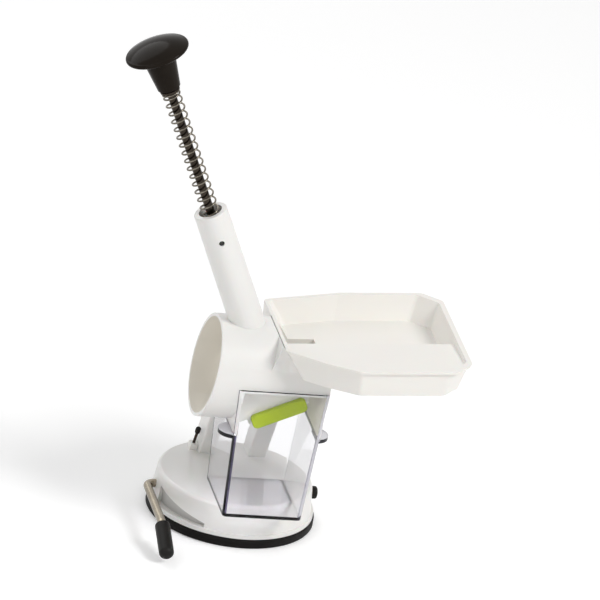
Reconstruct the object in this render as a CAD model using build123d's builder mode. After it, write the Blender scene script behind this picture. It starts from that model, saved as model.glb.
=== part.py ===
from build123d import *
import math
import os

# Cherry pitter on a suction foot, in millimetres, +Z up. The origin is the centre of the
# rubber foot on the table. The cherry tray lies towards +X, the pit box towards -Y.

# Rubber foot and base shell
foot_radius = 55.0
foot_rim_height = 6.4
foot_rim_width = 8.0
foot_dish_height = 1.8
foot_membrane = 2.0
foot_boss_radius = 13.0
foot_boss_wall = 1.3
base_bottom_radius = 52.6
base_side_draft = 2.0
base_top_z = 28.0
base_roof = 2.8
base_wall = 3.0
base_skirt_step = 1.4
base_skirt_height = 2.8
base_edge_round = 3.0
recess_depth = 2.0
recess_angle = 216.0
recess_half_width = 21.0
recess_high = 21.0
recess_low = 12.0

# Suction lever, its cam and the lift stud
shaft_z = 17.3
shaft_diameter = 5.5
shaft_clearance = 0.06
shaft_boss_diameter = 10.4
shaft_boss_length = 9.0
lever_arm_clearance = 0.8
lever_bend_radius = 5.0
lever_straight = 58.0
lever_kink = 21.0
lever_kink_radius = 6.0
lever_tail = 24.0
grip_length = 28.0
grip_diameter = 9.8
grip_end_wall = 6.0
end_cap_length = 3.2
end_cap_diameter = 8.4
cam_diameter = 10.0
cam_offset = 1.6
cam_lead = 20.0
cam_width = 5.0
cam_play = 0.4
lever_travel = 100.0
yoke_wall = 1.5
rib_thickness = 2.4
stud_diameter = 6.0
stud_disc_diameter = 16.0
stud_disc_thickness = 1.6
stud_disc_z = 5.4
pocket_play = 0.2

# Two-legged column
leg_width = 12.0
leg_edge_round = 1.6
left_leg_x = -20.0
leg_gap = 21.0
leg_rear_margin = 8.6
leg_foot_depth = 15.0
leg_lean = 27.0
leg_flare_step = 2.0
leg_flare_z = 41.0
shoulder_drop = 17.0
bridge_low_z = 92.0
bridge_depth = 14.0
column_back_y = 4.5
column_top_z = 126.0
column_top_depth = 7.0

# Plunger line: it leans to the left in the plane y = head_y, and heights along it start
# at the middle of the cherry seat
head_y = -37.0
seat_x = 7.4
seat_z = 98.6
plunger_lean = 25.4
stroke = 46.0

# Housing: a level barrel that is the cherry chute, and a square hood under it
barrel_radius = 33.5
barrel_z = 121.0
barrel_mouth_x = -41.0
mouth_tilt = 8.0
housing_wall = 2.2
hood_left = -23.0
hood_right = 35.0
hood_front = -68.3
hood_back = -7.0
hood_corner_x = -9.0
hood_corner_round = 3.0
window_top = 118.0
chute_width = 34.0
chute_floor = 2.2
chute_hole_diameter = 20.0
inlet_length = 19.4
inlet_width = 31.0
inlet_height = 14.0

# Seat insert and its rubber membrane
insert_length = 37.0
insert_front_reach = 23.5
insert_back_reach = 17.0
insert_head_depth = 4.0
insert_head_rise = 2.8
insert_thickness = 6.5
insert_play = 0.35
insert_cup_diameter = 19.0
insert_cup_depth = 2.6
insert_hole_diameter = 11.0
tongue_width = 2.2
tongue_thickness = 2.2
rail_wall = 1.8
rail_setback = 6.0
membrane_diameter = 15.0
membrane_thickness = 1.4
membrane_hole_diameter = 9.0

# Guide tube, bush and plunger
tube_foot_height = 34.0
tube_mouth_height = 143.6
tube_foot_diameter = 22.8
tube_mouth_diameter = 22.0
tube_cone_rise = 11.0
tube_spigot_diameter = 19.0
tube_bore = 15.4
tube_lower_bore = 9.6
stripper_diameter = 14.6
stripper_thickness = 2.0
stripper_hole_diameter = 6.4
bush_depth = 12.0
bush_length = 14.0
bush_pin_diameter = 3.6
bush_pin_rise = 6.6
bush_pin_sink = 1.0
rod_diameter = 5.6
rod_clearance = 0.08
punch_low = 33.5
punch_length = 9.0
punch_groove = 1.5
punch_spigot_diameter = 3.0
punch_spigot_length = 6.0
clip_thickness = 1.2
clip_diameter = 11.6

# Return spring and the washer above it
spring_diameter = 12.2
spring_wire = 1.2
spring_coils = 17
spring_end_pitch = 1.8
washer_thickness = 1.4
washer_diameter = 13.0

# Knob
knob_low = 234.6
knob_neck_length = 26.0
knob_neck_low_diameter = 15.0
knob_neck_high_diameter = 22.0
knob_neck_chamfer = 1.4
knob_cap_diameter = 41.4
knob_cap_height = 7.8
knob_cap_edge = 3.0
knob_cap_lip = 1.3
knob_rod_depth = 18.0
knob_nut_diameter = 9.0
knob_nut_length = 10.0

# Cherry tray, in its own tilted plane
tray_tilt = 3.6
tray_left = 13.0
tray_z = 134.0
tray_height = 18.0
tray_wall = 2.0
tray_length = 105.0
tray_width_near = -105.0
tray_width_far = 12.0
tray_mouth_near = -73.0
tray_mouth_far = 2.0
tray_mouth_slant = 11.5
tray_corner = 12.0
tray_corner_round = 6.0
tray_near_bend_x = 12.4
tray_near_bend_y = -92.7
tray_near_start = 32.0
tray_far_start = 40.0
tray_draft = 6.0
tray_near_draft = 1.0
cheek_length = 26.0
cheek_low = 4.0
shelf_height = 14.7
shelf_edge_y = -57.0
shelf_rise = 1.7
channel_floor_y = -53.0
rim_width = 1.4
rim_thickness = 1.8
spigot_wall = 1.5
spigot_depth = 3.4

# Clear pit box
box_left = -21.0
box_right = 31.0
box_front = -67.2
box_back = -8.4
box_bottom_z = 28.3
box_side_top = 86.8
box_front_top = 120.0
box_wall = 1.8
box_side_draft = 2.5
box_front_draft = 3.4
box_corner = 3.0
ear_reach = 7.8
ear_length = 19.0
ear_thickness = 2.6

# Lock pin beside the left leg
pin_diameter = 2.0
pin_setback = 10.0
pin_exposed = 14.5
pin_sunk = 10.5
pin_tip_diameter = 3.6
pin_tip_length = 4.4
lug_height = 5.0
lug_width = 4.8
lug_depth = 7.5

# Screws
screw_diameter = 3.4
screw_head_diameter = 6.6
screw_head_height = 2.2
screw_play = 0.1
foot_screw_length = 12.0
housing_screw_length = 11.8
screw_boss_diameter = 8.0
screw_boss_length = 5.0
foot_screw_setback = 3.2
foot_screw_pitch = 7.2
housing_screw_rise = 7.0
housing_screw_pitch = 10.0
screw_seat_depth = 6.0

gap = 0.3
touch = 0.05
# Longer than any cut has to be
reach = tray_left + tray_length + foot_radius

os.makedirs("parts", exist_ok=True)


def write(part, label):
    part.label = label
    export_step(part, f"parts/{label}.step")


lean = math.radians(plunger_lean)
plunger_plane = Plane(
    origin=(seat_x, head_y, seat_z),
    x_dir=(math.cos(lean), 0, math.sin(lean)),
    z_dir=(-math.sin(lean), 0, math.cos(lean)),
)
# The same frame turned so that its sketch plane is the upright plane of the plunger
lean_side_plane = Plane(
    origin=(seat_x, head_y, seat_z),
    x_dir=(math.cos(lean), 0, math.sin(lean)),
    z_dir=(0, -1, 0),
)
tilt = math.radians(tray_tilt)
tray_plane = Plane(
    origin=(tray_left, 0, tray_z),
    x_dir=(math.cos(tilt), 0, math.sin(tilt)),
    z_dir=(-math.sin(tilt), 0, math.cos(tilt)),
)
tray_side_plane = Plane(
    origin=(tray_left, 0, tray_z),
    x_dir=(math.cos(tilt), 0, math.sin(tilt)),
    z_dir=(0, -1, 0),
)

base_top_radius = base_bottom_radius - base_side_draft
base_inner_radius = base_top_radius - base_wall
leg_rear_y = base_top_radius - leg_rear_margin
leg_front_y = leg_rear_y - leg_foot_depth
leg_flare_y = leg_rear_y - leg_flare_step
pin_y = leg_rear_y - pin_setback
base_skirt_radius = base_bottom_radius + base_skirt_step
lever_arm_x = -base_skirt_radius - lever_arm_clearance - shaft_diameter / 2
left_leg_right = left_leg_x + leg_width
right_leg_x = left_leg_right + leg_gap
right_leg_right = right_leg_x + leg_width
roof_z = base_top_z - base_roof
cam_start = cam_offset * math.sin(math.radians(cam_lead))
cam_drop = cam_offset * math.sin(math.radians(lever_travel - cam_lead))
stud_travel = cam_start + cam_drop

# Rubber foot: a flat rim, a thin membrane and a boss with a pocket for the stud's disc
pocket_low = stud_disc_z - stud_travel - pocket_play
pocket_high = stud_disc_z + stud_disc_thickness + pocket_play
foot_boss_height = pocket_high + foot_boss_wall
rim_inner_radius = foot_radius - foot_rim_width
with BuildPart() as suction_pad:
    with BuildSketch(Plane.XZ):
        with BuildLine():
            Polyline(
                (0, foot_dish_height),
                (foot_boss_radius, foot_dish_height),
                (rim_inner_radius - 4, foot_dish_height + 1),
                (rim_inner_radius, 0),
                (foot_radius - 0.8, 0),
                (foot_radius, 1.2),
                (foot_radius, foot_rim_height - 0.8),
                (foot_radius - 0.8, foot_rim_height),
                (rim_inner_radius, foot_rim_height),
                (rim_inner_radius - 4, foot_dish_height + 1 + foot_membrane),
                (foot_boss_radius + 2, foot_dish_height + foot_membrane),
                (foot_boss_radius, foot_boss_height),
                (0, foot_boss_height),
                close=True,
            )
        make_face()
    revolve(axis=Axis.Z)
    with BuildSketch(Plane.XY.offset(pocket_low)):
        Circle(stud_disc_diameter / 2 + gap)
    extrude(amount=pocket_high - pocket_low, mode=Mode.SUBTRACT)
    with BuildSketch(Plane.XY.offset(pocket_high)):
        Circle(stud_diameter / 2 + gap)
    extrude(amount=foot_boss_height, mode=Mode.SUBTRACT)
write(suction_pad.part, "suction_pad")

# Screw places under each leg, front and rear
foot_screw_front_y = leg_front_y + foot_screw_setback
foot_screw_places = [
    (x + leg_width / 2, y)
    for x in (left_leg_x, right_leg_x)
    for y in (foot_screw_front_y, foot_screw_front_y + foot_screw_pitch)
]

# The lock pin leans with the leg and stands clear of its outer face
pin_x = left_leg_x - gap - lug_width / 2
lug_top_z = base_top_z + lug_height
pin_lean = math.radians(leg_lean)
pin_plane = Plane(
    origin=(pin_x, pin_y, lug_top_z),
    x_dir=(1, 0, 0),
    z_dir=(0, -math.sin(pin_lean), math.cos(pin_lean)),
)

# Side recess of the base, cut as a ring slice under a sloping shoulder
recess_bearing = math.radians(recess_angle)
recess_plane = Plane(
    origin=(0, 0, 0),
    x_dir=(-math.sin(recess_bearing), math.cos(recess_bearing), 0),
    z_dir=(math.cos(recess_bearing), math.sin(recess_bearing), 0),
)
skirt_top_z = foot_rim_height + base_skirt_height
with BuildPart() as lever_recess:
    with BuildSketch(Plane.XY.offset(skirt_top_z)):
        Circle(base_skirt_radius + 2)
        Circle(base_top_radius + 0.6 - recess_depth, mode=Mode.SUBTRACT)
    extrude(amount=recess_high)
    with BuildSketch(recess_plane):
        with BuildLine():
            Polyline(
                (-recess_half_width, skirt_top_z),
                (recess_half_width, skirt_top_z),
                (recess_half_width, recess_low),
                (-recess_half_width, recess_high),
                close=True,
            )
        make_face()
    extrude(amount=reach, mode=Mode.INTERSECT)

# Base shell: a round cover with a skirt, shaft bosses, two guide ribs and the pin lug
with BuildPart() as base_shell:
    with BuildSketch(Plane.XZ):
        with BuildLine():
            Polyline(
                (0, base_top_z),
                (base_top_radius, base_top_z),
                (base_bottom_radius, skirt_top_z),
                (base_skirt_radius, skirt_top_z),
                (base_skirt_radius, foot_rim_height),
                (0, foot_rim_height),
                close=True,
            )
        make_face()
    revolve(axis=Axis.Z)
    top_rim = base_shell.edges().filter_by(GeomType.CIRCLE).group_by(Axis.Z)[-1]
    fillet(top_rim, base_edge_round)
    add(lever_recess.part, mode=Mode.SUBTRACT)
    with BuildSketch(Plane.XY.offset(foot_rim_height)):
        Circle(base_inner_radius)
    extrude(amount=roof_z - foot_rim_height, mode=Mode.SUBTRACT)
    for side in (-1, 1):
        boss_start = side * (base_inner_radius - shaft_boss_length)
        with BuildSketch(Plane.YZ.offset(boss_start)):
            with Locations((0, shaft_z)):
                Circle(shaft_boss_diameter / 2)
        extrude(amount=side * (shaft_boss_length + 1))
        rib_start = side * (cam_width / 2 + gap)
        with BuildSketch(Plane.YZ.offset(rib_start)):
            with BuildLine():
                Polyline(
                    (-11, roof_z + 0.5),
                    (11, roof_z + 0.5),
                    (7, shaft_z - shaft_diameter),
                    (-7, shaft_z - shaft_diameter),
                    close=True,
                )
            make_face()
        extrude(amount=side * rib_thickness)
    with BuildSketch(Plane.YZ.offset(-reach / 2)):
        with Locations((0, shaft_z)):
            Circle(shaft_diameter / 2 + shaft_clearance)
    extrude(amount=reach, mode=Mode.SUBTRACT)
    with Locations(*[(x, y, base_top_z) for x, y in foot_screw_places]):
        Hole(radius=screw_diameter / 2 + screw_play, depth=base_roof)
    with BuildSketch(Plane.YZ.offset(pin_x - lug_width / 2)):
        with BuildLine():
            Polyline(
                (pin_y + lug_depth / 2 + lug_height * math.tan(pin_lean), base_top_z),
                (pin_y + lug_depth / 2, lug_top_z),
                (pin_y - lug_depth / 2, lug_top_z),
                (pin_y - lug_depth / 2 + lug_height * math.tan(pin_lean), base_top_z),
                close=True,
            )
        make_face()
    extrude(amount=lug_width)
    with BuildSketch(pin_plane.offset(-pin_sunk - 0.5)):
        Circle(pin_diameter / 2 + shaft_clearance)
    extrude(amount=pin_sunk + lug_depth, mode=Mode.SUBTRACT)
write(base_shell.part, "base_shell")

# Suction lever: one bent rod, the straight shaft first, then the arm and its lower tail
kink = math.radians(lever_kink)
shaft_end_x = base_bottom_radius + end_cap_length - 1.2
tail_y = -lever_straight - lever_tail * math.cos(kink)
tail_z = shaft_z - lever_tail * math.sin(kink)
with BuildPart() as lever_rod:
    with BuildLine() as lever_path:
        FilletPolyline(
            (shaft_end_x, 0, shaft_z),
            (lever_arm_x, 0, shaft_z),
            (lever_arm_x, -lever_straight, shaft_z),
            (lever_arm_x, tail_y, tail_z),
            radius=[lever_bend_radius, lever_kink_radius],
        )
    with BuildSketch(Plane.YZ.offset(shaft_end_x)):
        with Locations((0, shaft_z)):
            Circle(shaft_diameter / 2)
    sweep(path=lever_path.line)
write(lever_rod.part, "lever_rod")

# Lever grip: a round-ended sleeve pushed over the rod's tail
grip_plane = Plane(
    origin=(lever_arm_x, tail_y, tail_z),
    x_dir=(1, 0, 0),
    z_dir=(0, -math.cos(kink), -math.sin(kink)),
)
grip_start = grip_end_wall - grip_length
with BuildPart() as lever_grip:
    with BuildSketch(grip_plane.offset(grip_start)):
        Circle(grip_diameter / 2)
    extrude(amount=grip_length)
    grip_rims = lever_grip.edges().filter_by(GeomType.CIRCLE).sort_by(
        lambda edge: grip_plane.to_local_coords(edge.center()).Z
    )
    fillet(grip_rims[-1], grip_diameter * 0.42)
    fillet(grip_rims[0], 1.2)
    with BuildSketch(grip_plane):
        Circle(shaft_diameter / 2 + touch)
    extrude(amount=grip_start, mode=Mode.SUBTRACT)
write(lever_grip.part, "lever_grip")

# Push-on cap that holds the shaft's right end
cap_inner_x = math.sqrt(base_bottom_radius**2 - (end_cap_diameter / 2) ** 2) + gap
with BuildPart() as shaft_end_cap:
    with BuildSketch(Plane.YZ.offset(cap_inner_x)):
        with Locations((0, shaft_z)):
            Circle(end_cap_diameter / 2)
    extrude(amount=end_cap_length)
    fillet(shaft_end_cap.faces().sort_by(Axis.X)[-1].edges(), 1.4)
    with BuildSketch(Plane.YZ.offset(cap_inner_x)):
        with Locations((0, shaft_z)):
            Circle(shaft_diameter / 2 + touch)
    extrude(amount=shaft_end_x - cap_inner_x + touch, mode=Mode.SUBTRACT)
write(shaft_end_cap.part, "shaft_end_cap")

# Cam: an eccentric disc on the middle of the shaft, its high side a little above level
cam_bearing = math.radians(cam_lead)
cam_y = cam_offset * math.cos(cam_bearing)
cam_z = shaft_z + cam_offset * math.sin(cam_bearing)
with BuildPart() as cam:
    with BuildSketch(Plane.YZ.offset(-cam_width / 2)):
        with Locations((cam_y, cam_z)):
            Circle(cam_diameter / 2)
        with Locations((0, shaft_z)):
            Circle(shaft_diameter / 2 + touch, mode=Mode.SUBTRACT)
    extrude(amount=cam_width)
write(cam.part, "cam")

# Lift stud: a yoke round the cam on a stem that ends in a disc inside the rubber foot
slot_height = cam_diameter + 2 * cam_play
slot_width = cam_diameter + 2 * cam_offset + 2 * cam_play
yoke_width = slot_width + 2 * yoke_wall
yoke_height = slot_height + 2 * yoke_wall
yoke_low = cam_z - yoke_height / 2
with BuildPart() as lift_stud:
    with BuildSketch(Plane.YZ.offset(-cam_width / 2)):
        with Locations((0, cam_z)):
            RectangleRounded(yoke_width, yoke_height, 2.4)
            RectangleRounded(slot_width, slot_height, 1.2, mode=Mode.SUBTRACT)
    extrude(amount=cam_width)
    with BuildSketch(Plane.XY.offset(stud_disc_z)):
        Circle(stud_diameter / 2)
    extrude(amount=yoke_low + yoke_wall / 2 - stud_disc_z)
    with BuildSketch(Plane.XY.offset(stud_disc_z)):
        Circle(stud_disc_diameter / 2)
    extrude(amount=stud_disc_thickness)
write(lift_stud.part, "lift_stud")


# Column: two flared legs joined behind the barrel, cut to fit the barrel and the hood
def leg_front_at(z):
    return leg_front_y - (z - base_top_z) * math.tan(pin_lean)


hood_bottom_z = barrel_z - barrel_radius
screw_row_z = hood_bottom_z + housing_screw_rise
screw_rows_z = (screw_row_z, screw_row_z + housing_screw_pitch)
housing_screw_places = [
    (x + leg_width / 2, z) for x in (left_leg_x, right_leg_x) for z in screw_rows_z
]
with BuildPart() as leg:
    with BuildSketch(Plane.YZ):
        with BuildLine():
            Polyline(
                (leg_front_y, base_top_z),
                (leg_rear_y, base_top_z),
                (leg_flare_y, leg_flare_z),
                (column_back_y + column_top_depth, barrel_z - shoulder_drop),
                (column_back_y, column_top_z),
                (column_back_y - column_top_depth, column_top_z),
                (leg_front_at(barrel_z), barrel_z),
                close=True,
            )
        make_face()
    extrude(amount=leg_width)
    # Only the long front edges are rounded, the foot stays sharp where it meets the base
    side_edges = leg.edges().filter_by(Axis.X, reverse=True)
    fillet(
        [e for e in side_edges if e.center().Y < leg_front_y and e.length > leg_width * 4],
        leg_edge_round,
    )

with BuildPart() as column:
    with Locations((left_leg_x, 0, 0), (right_leg_x, 0, 0)):
        add(leg.part)
    with BuildSketch(Plane.YZ.offset(left_leg_x)):
        with BuildLine():
            Polyline(
                (leg_front_at(bridge_low_z), bridge_low_z),
                (leg_front_at(bridge_low_z) + bridge_depth, bridge_low_z),
                (column_back_y + column_top_depth - 3, barrel_z - shoulder_drop),
                (column_back_y - 3, column_top_z),
                (column_back_y - column_top_depth, column_top_z),
                (leg_front_at(barrel_z), barrel_z),
                close=True,
            )
        make_face()
    extrude(amount=right_leg_right - left_leg_x)
    with BuildSketch(Plane.YZ.offset(-reach)):
        with Locations((head_y, barrel_z)):
            Circle(barrel_radius + touch)
    extrude(amount=2 * reach, mode=Mode.SUBTRACT)
    with BuildSketch(Plane.YZ.offset(-reach)):
        with Locations((hood_back + touch, hood_bottom_z - 1)):
            Rectangle(reach, barrel_z - hood_bottom_z, align=(Align.MAX, Align.MIN))
    extrude(amount=2 * reach, mode=Mode.SUBTRACT)
    with Locations(*[(x, y, base_top_z) for x, y in foot_screw_places]):
        Hole(radius=screw_diameter / 2 + screw_play, depth=foot_screw_length)
    for x, z in housing_screw_places:
        with BuildSketch(Plane.XZ.offset(-hood_back)):
            with Locations((x, z)):
                Circle(screw_diameter / 2 + screw_play)
        extrude(amount=-reach, mode=Mode.SUBTRACT)
        with BuildSketch(Plane.XZ.offset(-hood_back - screw_seat_depth)):
            with Locations((x, z)):
                Circle(screw_head_diameter / 2 + gap)
        extrude(amount=-reach, mode=Mode.SUBTRACT)
write(column.part, "column")

# Screws that hold the legs to the base shell, driven up from inside it
with BuildPart() as foot_screws:
    for x, y in foot_screw_places:
        with BuildSketch(Plane.XY.offset(roof_z)):
            with Locations((x, y)):
                Circle(screw_diameter / 2)
        extrude(amount=base_roof + foot_screw_length - 1)
        with BuildSketch(Plane.XY.offset(roof_z)):
            with Locations((x, y)):
                Circle(screw_head_diameter / 2)
        extrude(amount=-screw_head_height)
write(foot_screws.part, "foot_screws")

# Lock pin and its knob
with BuildPart() as lock_pin:
    with BuildSketch(pin_plane.offset(-pin_sunk)):
        Circle(pin_diameter / 2)
    extrude(amount=pin_sunk + pin_exposed)
write(lock_pin.part, "lock_pin")
with BuildPart() as lock_pin_tip:
    with BuildSketch(pin_plane.offset(pin_exposed - pin_tip_length + 1)):
        Circle(pin_tip_diameter / 2)
    extrude(amount=pin_tip_length)
    fillet(lock_pin_tip.faces().sort_by(Axis.Z)[-1].edges(), 1.2)
    with BuildSketch(pin_plane.offset(pin_exposed)):
        Circle(pin_diameter / 2 + touch)
    extrude(amount=-pin_tip_length, mode=Mode.SUBTRACT)
write(lock_pin_tip.part, "lock_pin_tip")

# Cherry space: the inside of the barrel above the sloping chute floor and below the tray
floor_low = insert_thickness / 2 + insert_play
floor_high = floor_low + chute_floor
mouth_slope = math.radians(mouth_tilt)
mouth_plane = Plane(
    origin=(barrel_mouth_x, head_y, barrel_z),
    x_dir=(0, 1, 0),
    z_dir=(math.cos(mouth_slope), 0, -math.sin(mouth_slope)),
)
mouth_reach = barrel_radius * math.tan(mouth_slope) + 2
barrel_start = barrel_mouth_x - mouth_reach
chute_front = head_y - chute_width / 2
slant = tray_mouth_slant / tray_height


def tray_space(inset):
    # Everything above the tray's underside and to the right of its slanted left wall
    with BuildPart(mode=Mode.PRIVATE) as space:
        with BuildSketch(tray_side_plane.offset(-reach / 2)):
            with BuildLine():
                Polyline(
                    (-gap - inset, -inset),
                    (reach, -inset),
                    (reach, reach),
                    (-gap - inset - slant * (reach + inset), reach),
                    close=True,
                )
            make_face()
        extrude(amount=2 * reach)
    return space.part


with BuildPart() as cherry_space:
    with BuildSketch(Plane.YZ.offset(barrel_start - 1)):
        with Locations((head_y, barrel_z)):
            Circle(barrel_radius - housing_wall)
    extrude(amount=hood_right - housing_wall - barrel_start + 1)
    split(bisect_by=plunger_plane.offset(floor_high), keep=Keep.TOP)
    with BuildSketch(Plane.YZ.offset(hood_left)):
        with Locations((chute_front, window_top + housing_wall)):
            Rectangle(reach, reach, align=(Align.MAX, Align.MAX))
    extrude(amount=reach, mode=Mode.SUBTRACT)
    add(tray_space(housing_wall), mode=Mode.SUBTRACT)

# Pit space: open below and to the front, under the chute floor
with BuildPart() as pit_space:
    with BuildSketch(Plane.XY.offset(hood_bottom_z - 1)) as pit_outline:
        with BuildLine():
            Polyline(
                (hood_left + housing_wall, -reach),
                (hood_right - housing_wall, -reach),
                (hood_right - housing_wall, hood_back - housing_wall),
                (hood_left + housing_wall, hood_back - housing_wall),
                close=True,
            )
        make_face()
        fillet(pit_outline.vertices(), hood_corner_round - housing_wall)
    extrude(amount=window_top - hood_bottom_z + 1)
    split(bisect_by=plunger_plane.offset(floor_low), keep=Keep.BOTTOM)
    with BuildSketch(Plane.XZ.offset(-chute_front + housing_wall)):
        with BuildLine():
            Polyline(
                (hood_left + housing_wall, hood_bottom_z - 1),
                (hood_right - housing_wall, hood_bottom_z - 1),
                (hood_right - housing_wall, window_top),
                (hood_left + housing_wall, window_top),
                close=True,
            )
        make_face()
    extrude(amount=reach)

# Housing: the barrel with its slanted mouth, the hood, the chute floor and the seat rails
rail_inner = insert_length / 2 - tongue_width - 0.6
rail_outer = insert_length / 2
insert_front = head_y - insert_front_reach
insert_back = head_y + insert_back_reach
rail_front = insert_front + insert_head_depth + rail_setback
tray_rim = tray_plane.from_local_coords((-gap - slant * tray_height, 0, tray_height))
with BuildPart() as housing:
    with BuildSketch(Plane.YZ.offset(barrel_start)):
        with Locations((head_y, barrel_z)):
            Circle(barrel_radius)
    extrude(amount=hood_right - barrel_start)
    split(bisect_by=mouth_plane, keep=Keep.TOP)
    with BuildSketch(Plane.XY.offset(hood_bottom_z)) as hood_outline:
        with BuildLine():
            Polyline(
                (hood_left, hood_front),
                (hood_right, hood_front),
                (hood_right, hood_back),
                (hood_left, hood_back),
                close=True,
            )
        make_face()
        fillet(hood_outline.vertices(), hood_corner_round)
    extrude(amount=barrel_z - hood_bottom_z)
    # Front corner: its left edge rises from the barrel to the tray's near left corner
    with BuildSketch(Plane.XZ.offset(-head_y)):
        with BuildLine():
            Polyline(
                (hood_corner_x, barrel_z),
                (tray_rim.X, tray_rim.Z),
                (hood_right, tray_rim.Z),
                (hood_right, barrel_z),
                close=True,
            )
        make_face()
    extrude(amount=head_y - hood_front)
    add(tray_space(0), mode=Mode.SUBTRACT)
    add(cherry_space.part, mode=Mode.SUBTRACT)
    add(pit_space.part, mode=Mode.SUBTRACT)
    # Rails that carry the seat insert, and its back stop
    for side in (-1, 1):
        with BuildSketch(lean_side_plane.offset(head_y - insert_back)):
            with BuildLine():
                Polyline(
                    (side * (rail_outer + rail_wall), floor_low + 0.4),
                    (side * (rail_outer + rail_wall), -tongue_thickness - 0.8),
                    (side * rail_inner, -tongue_thickness - 0.8),
                    (side * rail_inner, -tongue_thickness / 2 - touch),
                    (side * rail_outer, -tongue_thickness / 2 - touch),
                    (side * rail_outer, floor_low + 0.4),
                    close=True,
                )
            make_face()
        extrude(amount=insert_back - rail_front)
    with BuildSketch(lean_side_plane.offset(head_y - insert_back - gap - rail_wall)):
        with BuildLine():
            Polyline(
                (-rail_outer, floor_low + 0.4),
                (rail_outer, floor_low + 0.4),
                (rail_outer, 0),
                (-rail_outer, 0),
                close=True,
            )
        make_face()
    extrude(amount=rail_wall)
    # Opening under the tray and the seat hole in the chute floor
    with BuildSketch(tray_side_plane.offset(-head_y - inlet_width / 2)):
        with BuildLine():
            Polyline(
                (inlet_length, -2 * housing_wall),
                (inlet_length, tray_wall),
                (0, inlet_height),
                (-slant * inlet_height - 2 * housing_wall, inlet_height),
                (-2 * housing_wall, -2 * housing_wall),
                close=True,
            )
        make_face()
    extrude(amount=inlet_width, mode=Mode.SUBTRACT)
    with BuildSketch(plunger_plane.offset(floor_low - 1)):
        Circle(chute_hole_diameter / 2)
    extrude(amount=chute_floor + 2, mode=Mode.SUBTRACT, taper=-14)
    # Hole for the guide tube's spigot and bosses for the column's screws
    with BuildSketch(plunger_plane.offset(tube_foot_height)):
        Circle(tube_spigot_diameter / 2 + touch)
    extrude(amount=reach, mode=Mode.SUBTRACT)
    for x, z in housing_screw_places:
        with BuildSketch(Plane.XZ.offset(-hood_back)):
            with Locations((x, z)):
                Circle(screw_boss_diameter / 2)
        extrude(amount=housing_wall + screw_boss_length)
        with BuildSketch(Plane.XZ.offset(-hood_back)):
            with Locations((x, z)):
                Circle(screw_diameter / 2 + screw_play)
        extrude(amount=housing_wall + screw_boss_length - 1, mode=Mode.SUBTRACT)
write(housing.part, "housing")

# Screws that hold the housing to the legs, heads sunk in the legs' backs
screw_seat_y = hood_back + screw_seat_depth
with BuildPart() as housing_screws:
    for x, z in housing_screw_places:
        with BuildSketch(Plane.XZ.offset(-screw_seat_y)):
            with Locations((x, z)):
                Circle(screw_diameter / 2)
        extrude(amount=housing_screw_length)
        with BuildSketch(Plane.XZ.offset(-screw_seat_y)):
            with Locations((x, z)):
                Circle(screw_head_diameter / 2)
        extrude(amount=-screw_head_height)
write(housing_screws.part, "housing_screws")

# Guide tube: a slim cone shaped to the barrel, with a spigot that passes through its wall
plunger_axis = Axis(plunger_plane.origin, plunger_plane.z_dir)
bush_high = tube_mouth_height - bush_depth
bush_low = bush_high - bush_length
bush_pin_height = bush_low + bush_pin_rise
clip_low = bush_low - 2 * touch - clip_thickness
tube_shoulder = clip_low - stroke - gap
cone_low = tube_foot_height + tube_cone_rise
cone_slope = (tube_foot_diameter - tube_mouth_diameter) / 2 / (tube_mouth_height - cone_low)
pin_outer = tube_mouth_diameter / 2 + cone_slope * (tube_mouth_height - bush_pin_height)
pin_inner = rod_diameter / 2 + 1.4
with BuildPart() as guide_tube:
    with BuildSketch(lean_side_plane):
        with BuildLine():
            Polyline(
                (0, cone_low),
                (tube_foot_diameter / 2, cone_low),
                (tube_mouth_diameter / 2, tube_mouth_height),
                (0, tube_mouth_height),
                close=True,
            )
        make_face()
    revolve(axis=plunger_axis)
    fillet(guide_tube.edges().sort_by(Axis.Z)[-1], 0.8)
    with BuildSketch(Plane.YZ.offset(-reach / 2)):
        with Locations((head_y, barrel_z)):
            Circle(barrel_radius + touch)
    extrude(amount=reach, mode=Mode.SUBTRACT)
    with BuildSketch(plunger_plane.offset(tube_foot_height)):
        Circle(tube_spigot_diameter / 2)
    extrude(amount=tube_mouth_height - tube_foot_height)
    with BuildSketch(plunger_plane.offset(tube_shoulder)):
        Circle(tube_bore / 2)
    extrude(amount=tube_mouth_height - tube_shoulder, mode=Mode.SUBTRACT)
    with BuildSketch(plunger_plane.offset(tube_foot_height)):
        Circle(tube_lower_bore / 2)
    extrude(amount=tube_mouth_height, mode=Mode.SUBTRACT)
    with BuildSketch(plunger_plane.offset(tube_foot_height)):
        Circle(stripper_diameter / 2 + touch)
    extrude(amount=stripper_thickness, mode=Mode.SUBTRACT)
    with BuildSketch(lean_side_plane.offset(pin_inner)):
        with Locations((0, bush_pin_height)):
            Circle(bush_pin_diameter / 2 + touch)
    extrude(amount=pin_outer, mode=Mode.SUBTRACT)
write(guide_tube.part, "guide_tube")

# Bush that carries the rod in the tube, and the pin that keeps it there
with BuildPart() as tube_bush:
    with BuildSketch(plunger_plane.offset(bush_low)):
        Circle(tube_bore / 2 - touch)
        Circle(rod_diameter / 2 + rod_clearance, mode=Mode.SUBTRACT)
    extrude(amount=bush_high - bush_low)
    with BuildSketch(lean_side_plane.offset(pin_inner - touch)):
        with Locations((0, bush_pin_height)):
            Circle(bush_pin_diameter / 2 + touch)
    extrude(amount=pin_outer, mode=Mode.SUBTRACT)
write(tube_bush.part, "tube_bush")
with BuildPart() as bush_pin:
    with BuildSketch(lean_side_plane.offset(pin_inner)):
        with Locations((0, bush_pin_height)):
            Circle(bush_pin_diameter / 2)
    extrude(amount=pin_outer - bush_pin_sink - pin_inner)
write(bush_pin.part, "bush_pin")

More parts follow.
